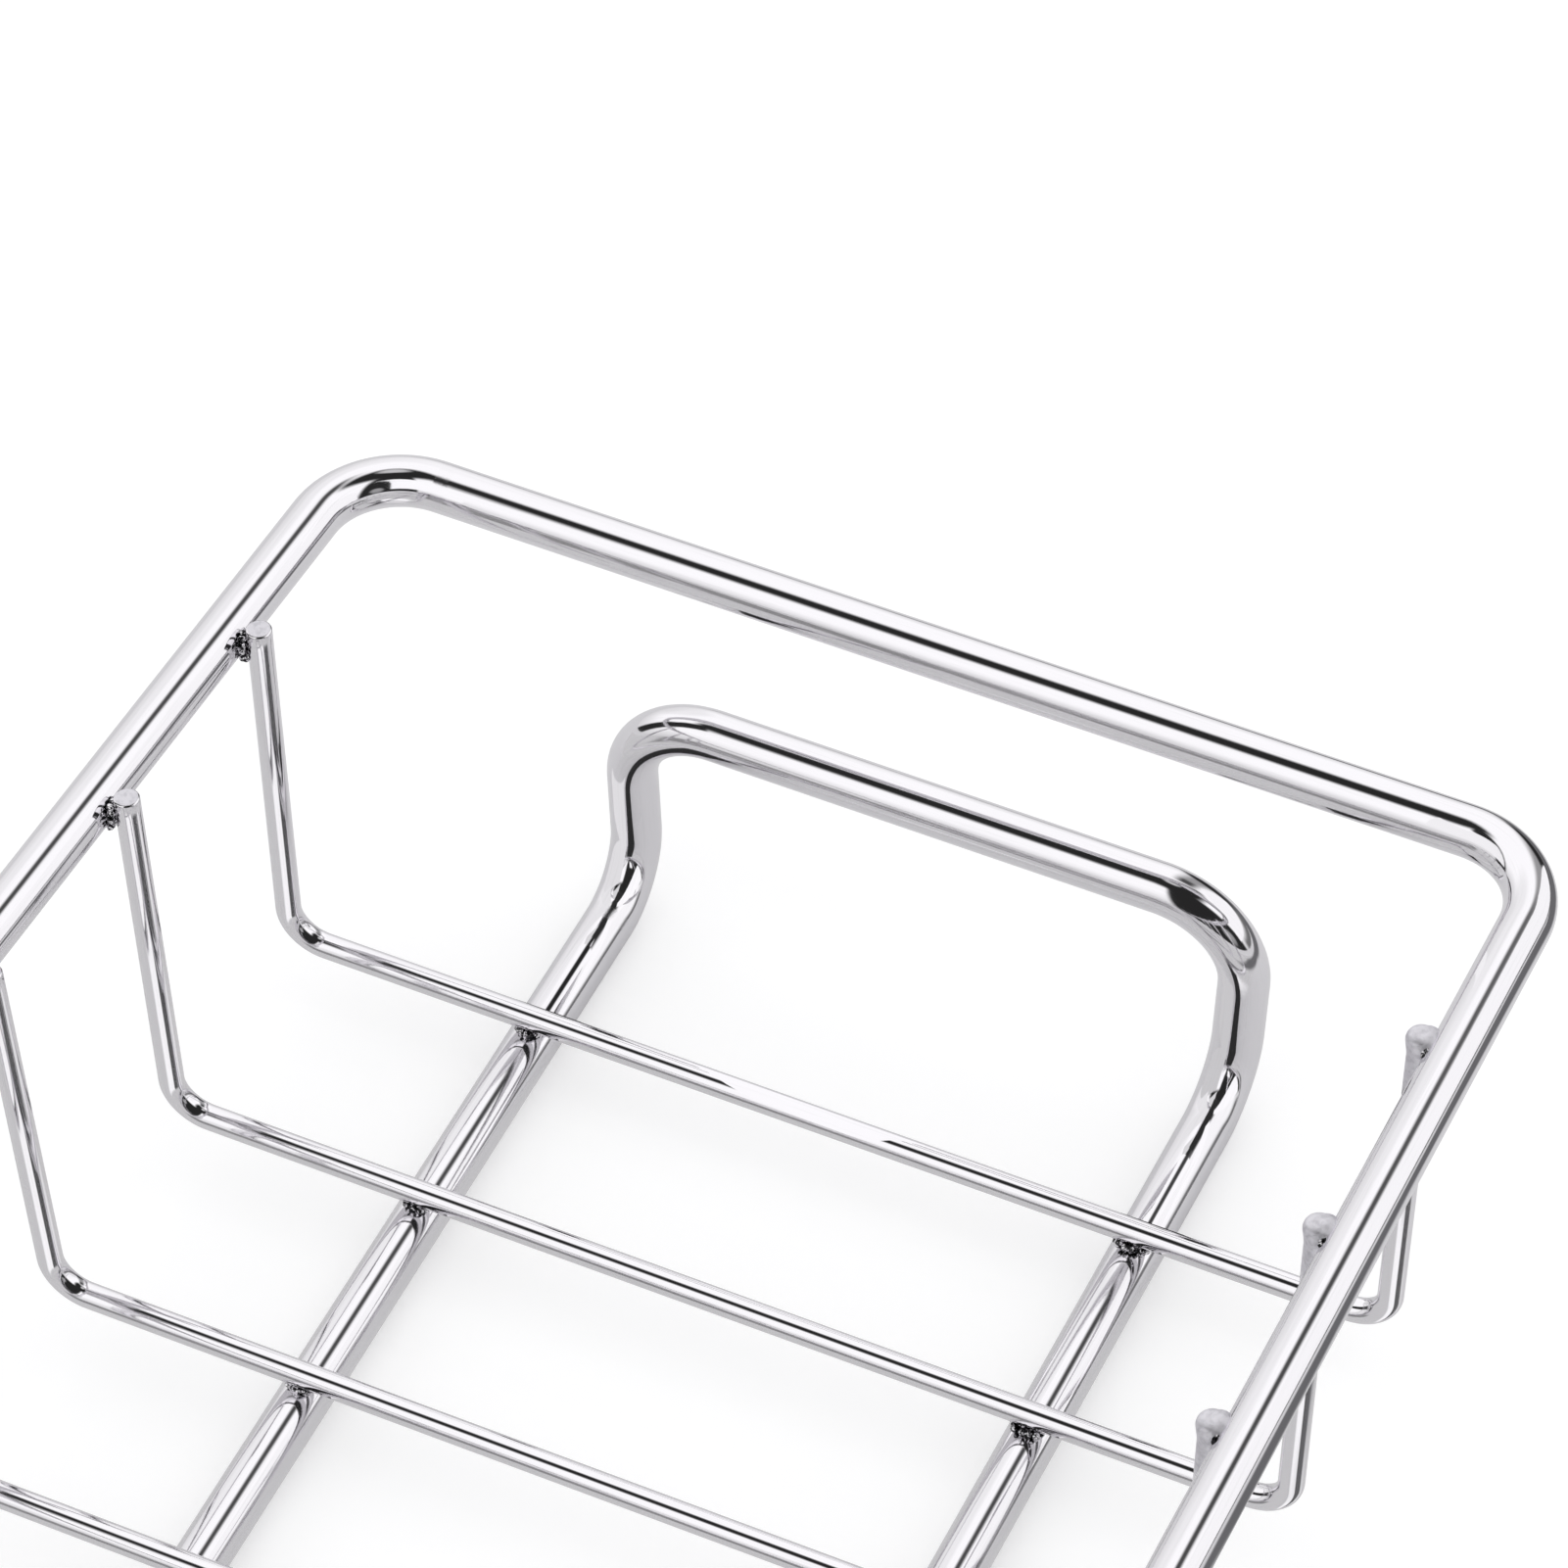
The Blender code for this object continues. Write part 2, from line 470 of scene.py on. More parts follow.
def weld_tree():
    """Fills the crevice between two crossing wires with a nugget and a ring of small beads."""
    tree, given = geometry_tree(
        "weld_flash",
        {
            "Thick wire": "Float",
            "Thin wire": "Float",
            "Flash reach": "Float",
            "Flash width": "Float",
            "Bead radius": "Float",
            "Beads": "Int",
            "Seed": "Int",
            "Steel": "Material",
        },
    )
    facing = tree.named("facing", "FLOAT_VECTOR")
    thin_along = tree.named("thin_along", "FLOAT_VECTOR")
    size = tree.named("weld_size")
    turn = tree.add(
        "FunctionNodeAxesToRotation",
        {"primary_axis": "Z", "secondary_axis": "X"},
        {0: facing, 1: thin_along},
    )
    ring = tree.add(
        "GeometryNodeMeshCircle", {"fill_type": "NONE"}, {"Vertices": given["Beads"], "Radius": 1.0}
    )
    across, over, _ = tree.split(tree.add("GeometryNodeInputPosition"))
    reach = across * given["Flash reach"]
    width = over * given["Flash width"]
    lift = (width * width / given["Thin wire"] - reach * reach / given["Thick wire"]) * 0.5
    ring = tree.add(
        "GeometryNodeSetPosition",
        sockets={"Geometry": ring, "Position": tree.joined(reach, width, lift)},
    )
    rings = tree.add(
        "GeometryNodeInstanceOnPoints",
        sockets={"Points": given["Geometry"], "Instance": ring, "Rotation": turn, "Scale": size},
    )
    rings = tree.add("GeometryNodeRealizeInstances", sockets={"Geometry": rings})

    def random(kind, low, high, offset):
        outputs = {"FLOAT_VECTOR": 0, "FLOAT": 1}
        inputs = {"FLOAT_VECTOR": (0, 1), "FLOAT": (2, 3)}[kind]
        return tree.add(
            "FunctionNodeRandomValue",
            {"data_type": kind},
            {inputs[0]: low, inputs[1]: high, "Seed": given["Seed"] + offset},
            outputs[kind],
        )

    jitter = random("FLOAT_VECTOR", (-BEAD_JITTER,) * 3, (BEAD_JITTER,) * 3, 1)
    rings = tree.add("GeometryNodeSetPosition", sockets={"Geometry": rings, "Offset": jitter})
    bead = tree.add(
        "GeometryNodeMeshIcoSphere", sockets={"Radius": given["Bead radius"], "Subdivisions": 3}
    )
    beads = tree.add(
        "GeometryNodeInstanceOnPoints",
        sockets={
            "Points": rings,
            "Instance": bead,
            "Rotation": random("FLOAT_VECTOR", (0.0,) * 3, (6.28,) * 3, 2),
            "Scale": tree.joined(
                *(random("FLOAT", *BEAD_SIZES, offset) * size for offset in (3, 4, 5))
            ),
        },
    )
    lens = tree.add("GeometryNodeMeshIcoSphere", sockets={"Radius": 1.0, "Subdivisions": 4})
    nuggets = tree.add(
        "GeometryNodeInstanceOnPoints",
        sockets={
            "Points": given["Geometry"],
            "Instance": lens,
            "Rotation": turn,
            "Scale": tree.named("nugget", "FLOAT_VECTOR"),
        },
    )
    joined = tree.node("GeometryNodeJoinGeometry")
    for part in (beads, nuggets):
        tree.nodes.links.new(part.output, joined.inputs[0])
    flash = tree.add(
        "GeometryNodeRealizeInstances", sockets={"Geometry": Socket(tree, joined.outputs[0])}
    )
    outwards = tree.add("GeometryNodeInputNormal")
    lumps = tree.noise(tree.add("GeometryNodeInputPosition"), scale=2600.0)
    swell = (lumps - 0.5) * FLASH_DEPTH
    moved = tree.add("ShaderNodeVectorMath", {"operation": "SCALE"}, {0: outwards, "Scale": swell})
    flash = tree.add("GeometryNodeSetPosition", sockets={"Geometry": flash, "Offset": moved})
    flash = tree.add(
        "GeometryNodeSetShadeSmooth", sockets={"Geometry": flash, "Shade Smooth": True}
    )
    return finish_tree(tree, flash, given["Steel"])


def line_mesh(name, points, closed, attributes):
    """A mesh of points, joined in a line unless there is no line, with values on its points."""
    mesh = bpy.data.meshes.new(name)
    edges = []
    if closed is not None:
        edges = [(index, index + 1) for index in range(len(points) - 1)]
        if closed:
            edges.append((len(points) - 1, 0))
    mesh.from_pydata(points, edges, [])
    for label, values in attributes.items():
        vectors = isinstance(values[0], Vector)
        layer = mesh.attributes.new(label, "FLOAT_VECTOR" if vectors else "FLOAT", "POINT")
        if vectors:
            layer.data.foreach_set("vector", [part for value in values for part in value])
        else:
            layer.data.foreach_set("value", values)
    return mesh


def grown(name, mesh, nodes, values):
    """Runs a tree on a mesh, and returns its result as a plain mesh object on the rack."""
    start = bpy.data.objects.new(f"{name}_start", mesh)
    bpy.context.scene.collection.objects.link(start)
    modifier = start.modifiers.new("Grow", "NODES")
    modifier.node_group = nodes
    for item in nodes.interface.items_tree:
        if item.in_out == "INPUT" and item.name in values:
            modifier[item.identifier] = values[item.name]
    graph = bpy.context.evaluated_depsgraph_get()
    made = bpy.data.meshes.new_from_object(start.evaluated_get(graph), depsgraph=graph)
    start.modifiers.remove(modifier)
    bpy.data.objects.remove(start)
    made.name = name
    piece = bpy.data.objects.new(f"{name}_finish", made)
    bpy.context.scene.collection.objects.link(piece)
    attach(piece, "root")
    return piece


def swept_wire(node, stations, closed, wire, slot, seed):
    """A wire piece that stands for a CAD wire, from stations of place, bend, swell and brushing."""
    scene = bpy.context.scene
    sizes = scene.rack_sizes
    places, bends, swells, brushed = zip(*stations)
    mesh = line_mesh(
        f"{node}_line", places, closed, {"bend_radius": bends, "swell": swells, "brushed": brushed}
    )
    nodes = bpy.data.node_groups.get("swept_wire") or wire_tree()
    material = bpy.data.materials.get(slot + "_finish") or steel(
        slot + "_finish", scene.steel_finish, seed, wire
    )
    values = {
        "Wire": wire,
        "Sides": sizes.wire_sides,
        "Bend rings": sizes.bend_rings,
        "Ring spacing": sizes.ring_spacing,
        "Steel": material,
    }
    piece = grown(node, mesh, nodes, values)
    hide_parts(node)
    return piece


def shift(sizes):
    """The rack's place along X, which the CAD rim's right side gives."""
    return RIM_HIGH.x - sizes.thick_wire / 2 - sizes.rim_width / 2


def bar_height(sizes):
    return sizes.thick_wire / 2


def floor_height(sizes):
    return sizes.thick_wire + sizes.weld_gap + sizes.thin_wire / 2


def rim_height(sizes):
    return floor_height(sizes) + sizes.basket_depth


def leg_reach(sizes):
    """From the rim's centre line to the centre line of a leg that is welded to it."""
    return sizes.thick_wire / 2 + sizes.weld_gap + sizes.thin_wire / 2


def rim_left(sizes, y):
    """Where the rim's left side is at a distance along Y."""
    lean = math.tan(sizes.rim_spread)
    return -(sizes.rim_width / 2 + (sizes.rim_length / 2 - abs(y)) * lean)


def cross_places():
    """The cross wires' places along Y, from their CAD boxes."""
    return [(low.y + high.y) / 2 for low, high in CROSS_BOXES]


class RackOperator:
    """What the rack's operators share."""

    bl_options = {"REGISTER", "UNDO"}


class RACK_OT_rim_wire(RackOperator, bpy.types.Operator):
    """Bend the thick wire that runs round the top"""

    bl_idname = "rack.rim_wire"
    bl_label = "Rim wire"

    def execute(self, context):
        sizes = context.scene.rack_sizes
        side, end = sizes.rim_width / 2, sizes.rim_length / 2
        knee = -rim_left(sizes, 0.0)
        corner = sizes.rim_corner
        outline = [
            (-side, end, corner),
            (-knee, 0.0, sizes.rim_knee),
            (-side, -end, corner),
            (side, -end, corner),
            (side, end, corner),
        ]
        height = rim_height(sizes)
        stations = [((x + shift(sizes), y, height), bend, 1.0, 0.0) for x, y, bend in outline]
        swept_wire("rim_wire", stations, True, sizes.thick_wire, "rim_steel", seed=0.0)
        return {"FINISHED"}


class RACK_OT_base_loop(RackOperator, bpy.types.Operator):
    """Bend the thick wire that the rack stands on, with a guard at each end"""

    bl_idname = "rack.base_loop"
    bl_label = "Base loop"

    def execute(self, context):
        sizes = context.scene.rack_sizes
        bar, guard = sizes.loop_width / 2, sizes.guard_width / 2
        low = bar_height(sizes)
        high = low + sizes.guard_rise
        profile = [
            (-bar, low, sizes.foot_bend),
            (-guard, high, sizes.guard_corner),
            (guard, high, sizes.guard_corner),
            (bar, low, sizes.foot_bend),
        ]
        end = sizes.rim_length / 2 - sizes.guard_setback
        outline = [(x, end, z, bend) for x, z, bend in profile]
        outline += [(x, -end, z, bend) for x, z, bend in reversed(profile)]
        stations = [((x + shift(sizes), y, z), bend, 1.0, 0.0) for x, y, z, bend in outline]
        swept_wire("base_loop", stations, True, sizes.thick_wire, "base_loop_steel", seed=3.0)
        return {"FINISHED"}


# How a wire's ends are shaped: the distance from the end, and the share of the wire's radius
SHEARED_END = [(0.0, 0.84), (0.00003, 0.92), (0.0001, 0.975), (0.0002, 1.0)]
UPSET_END = [
    (0.0, 0.55),
    (0.00006, 0.78),
    (0.00016, 0.95),
    (0.00030, 1.07),
    (0.00050, 1.15),
    (0.0008, 1.20),
    (0.0010, 1.19),
    (0.0016, 1.12),
    (0.0023, 1.04),
    (0.0030, 1.0),
]
BRUSHED_REACH = 0.0060
BRUSHED_FADE = 0.0020


class RACK_OT_cross_wires(RackOperator, bpy.types.Operator):
    """Bend the thin wires that hang between the sides of the rim"""

    bl_idname = "rack.cross_wires"
    bl_label = "Cross wires"

    def execute(self, context):
        sizes = context.scene.rack_sizes
        for name, y in zip(CROSS_WIRES, cross_places()):
            stations = cross_wire_stations(sizes, y)
            swept_wire(name, stations, False, sizes.thin_wire, "cross_wire_steel", seed=7.0)
        return {"FINISHED"}


def cross_wire_stations(sizes, y):
    """Down from the left end, across over the bars and up to the right end."""
    low, high = floor_height(sizes), rim_height(sizes)
    reach = leg_reach(sizes)
    middle = shift(sizes)
    side = sizes.rim_width / 2 - reach
    left_floor = Vector((middle - side, y, low))
    right_floor = Vector((middle + side, y, low))
    left_weld = Vector((middle + rim_left(sizes, y) + reach / math.cos(sizes.rim_spread), y, high))
    leg = left_weld - left_floor
    left_end = left_weld + leg * (sizes.left_end_rise / leg.z)
    right_leg = Vector((sizes.weld_sink, 0, high - low))
    right_end = right_floor + right_leg * (1 + sizes.right_end_rise / right_leg.z)
    down = -leg.normalized()
    right_down = -right_leg.normalized()
    stations = [
        (left_end + down * distance, 0.0, swell, 1.0 if distance == 0.0 else 0.0)
        for distance, swell in SHEARED_END
    ]
    stations.append((left_floor, sizes.floor_bend, 1.0, 0.0))
    stations.append((right_floor, sizes.floor_bend, 1.0, 0.0))
    stations.append((right_end + right_down * (BRUSHED_REACH + BRUSHED_FADE), 0.0, 1.0, 0.0))
    stations.append((right_end + right_down * BRUSHED_REACH, 0.0, 1.0, 1.0))
    for distance, swell in reversed(UPSET_END):
        stations.append((right_end + right_down * distance, 0.0, swell, 1.0))
    return stations


def welds(name, contacts, slot, seed):
    """A piece of all welds of one kind, from contacts of place, directions, sizes and finish."""
    scene = bpy.context.scene
    sizes = scene.rack_sizes
    places, facings, thin_alongs, weld_sizes, nuggets, brushed, weld_scale_and_shade = zip(*contacts)
    attributes = {
        "facing": facings,
        "thin_along": thin_alongs,
        "weld_size": weld_sizes,
        "nugget": nuggets,
        "brushed": brushed,
        "weld_scale_and_shade": weld_scale_and_shade,
    }
    mesh = line_mesh(f"{name}_places", places, None, attributes)
    nodes = bpy.data.node_groups.get("weld_flash") or weld_tree()
    material = bpy.data.materials[slot + "_finish"]
    values = {
        "Thick wire": sizes.thick_wire,
        "Thin wire": sizes.thin_wire,
        "Flash reach": sizes.flash_reach,
        "Flash width": sizes.flash_width,
        "Bead radius": sizes.bead_radius,
        "Beads": sizes.beads_per_weld,
        "Seed": seed,
        "Steel": material,
    }
    piece = grown(name, mesh, nodes, values)
    return piece


# Half sizes of what fills a weld: along the thin wire, along the thick one and away from both
BAR_NUGGET = Vector((0.00144, 0.00119, 0.00044))
LEFT_NUGGET = Vector((0.0013, 0.0011, 0.00044))
RIGHT_FILLET = Vector((0.00115, 0.0019, 0.0016))
# A dark lens in the gap between each right end and the rim: painted shade of that gap
RIGHT_GAP_SHADE = Vector((0.0006, 0.0009, 0.0006))

# Where the right ones lie from the rim's centre line
FILLET_PLACE = Vector((-0.0027, 0.0, 0.0007))
GAP_SHADE_PLACE = Vector((-0.0022, -0.0011, 0.0009))

# How large the beads are, on the left bar, -1, and the right, 1, how much of a weld carries dark
# scale, and how dark the painted shade in the gap under a right end is
BAR_BEADS = {-1: 0.75, 1: 1.0}
RIM_BEADS = 0.9
BURNT, GAP_SHADE = 1.0, 1.3


class RACK_OT_bar_welds(RackOperator, bpy.types.Operator):
    """Weld the cross wires to the two bars below them"""

    bl_idname = "rack.bar_welds"
    bl_label = "Bar welds"

    def execute(self, context):
        sizes = context.scene.rack_sizes
        height = sizes.thick_wire + sizes.weld_gap / 2
        up, across = Vector((0, 0, 1)), Vector((1, 0, 0))
        contacts = []
        for y in cross_places():
            for side, beads in BAR_BEADS.items():
                place = Vector((shift(sizes) + side * sizes.loop_width / 2, y, height))
                contacts.append((place, up, across, beads, BAR_NUGGET, 0.0, BURNT))
        welds("bar_welds", contacts, "cross_wire_steel", seed=11)
        return {"FINISHED"}


class RACK_OT_rim_welds(RackOperator, bpy.types.Operator):
    """Weld the cross wires' legs to the inner sides of the rim"""

    bl_idname = "rack.rim_welds"
    bl_label = "Rim welds"

    def execute(self, context):
        sizes = context.scene.rack_sizes
        inner = sizes.thick_wire / 2 + sizes.weld_gap / 2
        height = rim_height(sizes)
        up, out = Vector((0, 0, 1)), Vector((-1, 0, 0))
        contacts = []
        for y in cross_places():
            lean = math.copysign(sizes.rim_spread, y)
            inwards = Vector((math.cos(lean), -math.sin(lean), 0))
            left = Vector((shift(sizes) + rim_left(sizes, y), y, height)) + inwards * inner
            contacts.append((left, inwards, up, RIM_BEADS, LEFT_NUGGET, 0.0, BURNT))
            rim = Vector((shift(sizes) + sizes.rim_width / 2, y, height))
            contacts.append((rim + FILLET_PLACE, out, up, 0.0, RIGHT_FILLET, 1.0, 0.0))
            # Painted shade: a dark lens in the gap between the right leg and the rim
            contacts.append((rim + GAP_SHADE_PLACE, out, up, 0.0, RIGHT_GAP_SHADE, 0.0, GAP_SHADE))
        welds("rim_welds", contacts, "cross_wire_steel", seed=23)
        return {"FINISHED"}


class RACK_OT_studio(RackOperator, bpy.types.Operator):
    """Place the camera, the floor and the light round the rack"""

    bl_idname = "rack.studio"
    bl_label = "Studio"

    def execute(self, context):
        scene = context.scene
        sizes, studio = scene.rack_sizes, scene.rack_studio
        scene.view_settings.view_transform = "Standard"
        place_camera(scene, studio)
        lay_floor(scene, studio)
        stand_card(scene, studio)
        for side in (-1, 1):
            foot_cards(scene, sizes, studio.panel_light, side)
        rim_cards(scene, sizes, studio.panel_light)
        light_world(scene, studio)
        return {"FINISHED"}


def place_camera(scene, studio):
    """The camera at the photograph's angle, aimed at the far basket."""
    azimuth, elevation = studio.azimuth, studio.elevation
    back = Vector((
        math.sin(azimuth) * math.cos(elevation),
        -math.cos(azimuth) * math.cos(elevation),
        math.sin(elevation),
    ))
    camera = bpy.data.cameras.new("camera")
    camera.lens = studio.lens
    camera.sensor_width = 36.0
    camera.clip_start = 0.01
    holder = bpy.data.objects.new("camera", camera)
    holder.location = Vector(studio.aim) + back * studio.distance
    holder.rotation_euler = back.to_track_quat("Z", "Y").to_euler()
    scene.collection.objects.link(holder)
    scene.camera = holder


def seen_background(tree, share_in_steel):
    """One for the camera, and a share of it for what steel reflects or glass lets through."""
    seen, glossy, through = tree.rays("Camera", "Glossy", "Transmission")
    return seen + (glossy + through) * share_in_steel


def lay_floor(scene, studio):
    """A wide round floor that is white to the camera and keeps the rack's soft shadow."""
    sides, radius = 96, 4.0
    turns = [math.tau * index / sides for index in range(sides)]
    mesh = bpy.data.meshes.new("floor")
    outline = [(radius * math.cos(turn), radius * math.sin(turn), 0.0) for turn in turns]
    mesh.from_pydata(outline, [], [tuple(range(sides))])
    material, tree = node_material("floor_paper")
    paper = tree.add(
        "ShaderNodeBsdfPrincipled",
        sockets={
            "Base Color": opaque(studio.floor),
            "Roughness": 0.9,
            "Specular IOR Level": 0.0,
            "Emission Color": WHITE,
            "Emission Strength": seen_background(tree, studio.lift_in_steel) * studio.floor_lift,
        },
    )

    # Round the rack the steel sees the table as a mirror, which shows the lower half of the world
    x, y, _ = tree.split(tree.add("ShaderNodeTexCoord", output="Object"))
    (reflected,) = tree.rays("Glossy")
    end, side = (0.121, 0.133), (0.22, 0.26)
    polished = (1.0 - tree.rise(y, *end)) * (1.0 - tree.rise(abs(x), *side))
    mirror = tree.add("ShaderNodeBsdfTransparent", sockets={"Color": WHITE})
    table = tree.add(
        "ShaderNodeMixShader",
        sockets={0: polished * reflected * studio.table_gloss, 1: paper, 2: mirror},
    )

    # Past the table's edge, at the right and the far right, the floor glows dim grey for glossy
    # rays alone: a painted reflection of a strip of the dark room
    across = tree.towards((0.797, -0.604), (x, y))
    start, stop, near_end = (-0.012, 0.006), (0.050, 0.100), (0.085, 0.105)
    strip = tree.rise(across, *start) * tree.rise(y, *near_end)
    rack_end, reach, softness = 0.15, studio.table_reach, 0.015
    slant = tree.towards((0.8, 0.45), (x, y - rack_end))
    edge = tree.rise(slant, reach - softness, reach + softness)
    beyond = strip.maths("MAXIMUM", strip, edge) * (1.0 - tree.rise(across, *stop))
    room = tree.glow(1.0, (0.16, 0.16, 0.165, 1.0))
    seen = tree.add("ShaderNodeMixShader", sockets={0: beyond * reflected, 1: table, 2: room})
    tree.node("ShaderNodeOutputMaterial", sockets={"Surface": seen})
    mesh.materials.append(material)
    floor = bpy.data.objects.new("floor", mesh)
    scene.collection.objects.link(floor)


def stand_card(scene, studio):
    """A white card beyond the table's right edge."""
    place, along = Vector((0.20, 0.15, 0.0)), Vector((-0.49, 0.872, 0.0))
    height, share_of_light = 0.15, 0.95
    low, high = studio.card_bottom, studio.card_bottom + height
    ends = [place + along * reach for reach in (-0.05, 0.19)]
    material, tree = node_material("white_card")
    glow = tree.glow(studio.panel_light * share_of_light)
    tree.node("ShaderNodeOutputMaterial", sockets={"Surface": glow})
    steel_card(scene, "card", standing(ends, low, high), material)


def standing(ends, low, high):
    """The corners of an upright rectangle over two places on the floor."""
    corners = [(ends[0], low), (ends[1], low), (ends[1], high), (ends[0], high)]
    return [Vector((end.x, end.y, height)) for end, height in corners]


def steel_card(scene, name, corners, material):
    """A flat card that only the steel sees."""
    mesh = bpy.data.meshes.new(name)
    mesh.from_pydata(corners, [], [(0, 1, 2, 3)])
    mesh.materials.append(material)
    card = bpy.data.objects.new(name, mesh)
    card.visible_camera = False
    card.visible_diffuse = False
    card.visible_shadow = False
    scene.collection.objects.link(card)


def one_sided_card(scene, name, corners, strength, line=None):
    """A card that the steel sees only from the side that its face faces.

    A line along Y on it has its place along X, its dark reach to each side, the reach where it
    has faded, and its own strength.
    """
    material, tree = node_material(name)
    glow = tree.glow(strength)
    if line:
        middle, dark_reach, faded_reach, line_strength = line
        x, _, _ = tree.split(tree.add("ShaderNodeTexCoord", output="Object"))
        dark = tree.glow(line_strength)
        off_line = tree.rise(abs(x - middle), dark_reach, faded_reach)
        glow = tree.add("ShaderNodeMixShader", sockets={0: off_line, 1: dark, 2: glow})
    behind = tree.add("ShaderNodeNewGeometry", output="Backfacing")
    clear = tree.add("ShaderNodeBsdfTransparent", sockets={"Color": WHITE})
    seen = tree.add("ShaderNodeMixShader", sockets={0: behind, 1: glow, 2: clear})
    tree.node("ShaderNodeOutputMaterial", sockets={"Surface": seen})
    steel_card(scene, name, corners, material)


def fan(place, height, turns, reaches):
    """The corners of a level card that spreads out beside a place and faces down."""
    low, high = turns
    near, far = reaches
    start = Vector((place.x, place.y, height))
    return [
        start + direction(turn, 0.0) * reach
        for turn, reach in ((low, near), (high, near), (high, far), (low, far))
    ]


def ceiling(place, across, along, height):
    """The corners of a level rectangle near a place, which faces down."""
    (low, high), (near, far) = across, along
    corners = [(low, near), (low, far), (high, far), (high, near)]
    return [Vector((place.x + x, place.y + y, height)) for x, y in corners]


def upright(place, turns, reaches, heights):
    """The corners of an upright card beside a place, which it faces when its turns run down."""
    ends = [place + direction(turn, 0.0) * reach for turn, reach in zip(turns, reaches)]
    return standing(ends, *heights)


# The cards at the far foot bends. Turns, in degrees from +X, and reaches start at the bend's
# place. Other places lie along X from the bar's centre line and along Y from the guard's, and
# heights are above the floor. Of two sides, -1 is the left
BEND_PLACE = Vector((0.0007, -0.0034, 0.0))
FOOT_ROOFS = [
    {"height": 0.010, "turns": (-48, -10), "reaches": (0.0014, 0.045)},
    {"height": 0.010, "turns": (166, 203), "reaches": (0.0014, 0.026)},
    {"height": 0.0125, "turns": (203, 250), "reaches": (0.0012, 0.0050)},
]
LEFT_ROOF_SHARE = 0.8
NEAR_ROOF_LIGHT = 0.8
FOOT_WALL = {"turns": (243, 180), "reaches": (0.0054, 0.0108), "heights": (0.003, 0.012)}
FOOT_WALL_LIGHTS = {-1: 0.87, 1: 0.68}
FOOT_SHADE = {"across": (-0.0006, 0.0028), "along": (-0.0062, -0.0027), "height": 0.012}
BAR_ROOF = {"across": (-0.0013, 0.0036), "along": (-0.0191, -0.0094), "height": 0.009}
RISER_SHADE_ENDS = [Vector((-0.0008, -0.0027, 0.0)), Vector((0.0024, -0.0027, 0.0))]
RISER_SHADE_HEIGHTS = (0.008, 0.022)
BLACK_LIGHT = 0.03

# The dark line on a bar's roof: its place from the bar, its dark reach to each side, the reach
# where it has faded, and its light
BAR_LINES = {-1: (0.00084, 0.00065, 0.00135, 0.02), 1: (0.00092, 0.00045, 0.00115, 0.06)}


def foot_cards(scene, sizes, white, side):
    """The cards round one far foot bend, which lead its lines from the bar to the riser."""
    bar = shift(sizes) + side * sizes.loop_width / 2
    guard = Vector((bar, sizes.rim_length / 2 - sizes.guard_setback, 0.0))
    bend = guard + BEND_PLACE
    for roof, light in zip(FOOT_ROOFS, (white, white * LEFT_ROOF_SHARE, NEAR_ROOF_LIGHT)):
        one_sided_card(scene, "foot_roof", fan(bend, **roof), light)
    one_sided_card(scene, "foot_wall", upright(bend, **FOOT_WALL), FOOT_WALL_LIGHTS[side])
    one_sided_card(scene, "foot_shade", ceiling(guard, **FOOT_SHADE), BLACK_LIGHT)
    middle, *reaches_and_light = BAR_LINES[side]
    line = (bar + middle, *reaches_and_light)
    one_sided_card(scene, "bar_roof", ceiling(guard, **BAR_ROOF), white, line)

    # On the riser, as the bar sees it
    ends = [guard + end for end in RISER_SHADE_ENDS]
    one_sided_card(scene, "riser_shade", standing(ends, *RISER_SHADE_HEIGHTS), BLACK_LIGHT)
    shade_bar(scene, sizes, guard)


def shade_bar(scene, sizes, guard):
    """A dark strip on the bar and a part of its bend, as the riser sees it."""
    middle, narrowest, spread = guard.x + 0.0006, 0.0006, 0.13
    length_on_bar, space = 0.022, 0.0002
    inner = sizes.foot_bend - sizes.thick_wire / 2 - space
    top = bar_height(sizes) + sizes.foot_bend - inner
    foot = guard.y - sizes.foot_bend
    rows = [(guard.y - length_on_bar, top), (foot, top)]
    for turn in map(math.radians, (12, 24, 36)):
        rows.append((foot + inner * math.sin(turn), top + inner * (1 - math.cos(turn))))
    ends = []
    for y, z in rows:
        reach = narrowest + (guard.y - y) * spread
        ends.append((Vector((middle - reach, y, z)), Vector((middle + reach, y, z))))
    for (left, right), (next_left, next_right) in zip(ends, ends[1:]):
        corners = [left, right, next_right, next_left]
        one_sided_card(scene, "bar_shade", corners, BLACK_LIGHT)


# The cards at the rim's far corners, placed from where its end and its side would meet
LEFT_CORNER = Vector((0.0052, -0.003, 0.0))
RIM_ROOF = {"turns": (-100, -58), "reaches": (0.0032, 0.0062)}
RIM_ROOF_RISE = 0.0065
LEFT_WALL = {"turns": (-58, -100), "reaches": (0.0078, 0.0070), "heights": (0.0486, 0.0570)}
RIGHT_CORNER = Vector((-0.0044, -0.0028, 0.0))
RIGHT_WALL = {"turns": (233, 195), "reaches": (0.0096, 0.0090), "heights": (0.0486, 0.0555)}
RIGHT_WALL_SHARE = 0.9


def rim_cards(scene, sizes, white):
    """The cards at the rim's far corners, which say where its dark lines end."""
    side, end = sizes.rim_width / 2, sizes.rim_length / 2
    left = Vector((shift(sizes) - side, end, 0.0)) + LEFT_CORNER
    roof = fan(left, rim_height(sizes) + RIM_ROOF_RISE, **RIM_ROOF)
    one_sided_card(scene, "rim_roof", roof, white)
    one_sided_card(scene, "rim_wall", upright(left, **LEFT_WALL), white)
    right = Vector((shift(sizes) + side, end, 0.0)) + RIGHT_CORNER
    one_sided_card(scene, "rim_wall", upright(right, **RIGHT_WALL), white * RIGHT_WALL_SHARE)


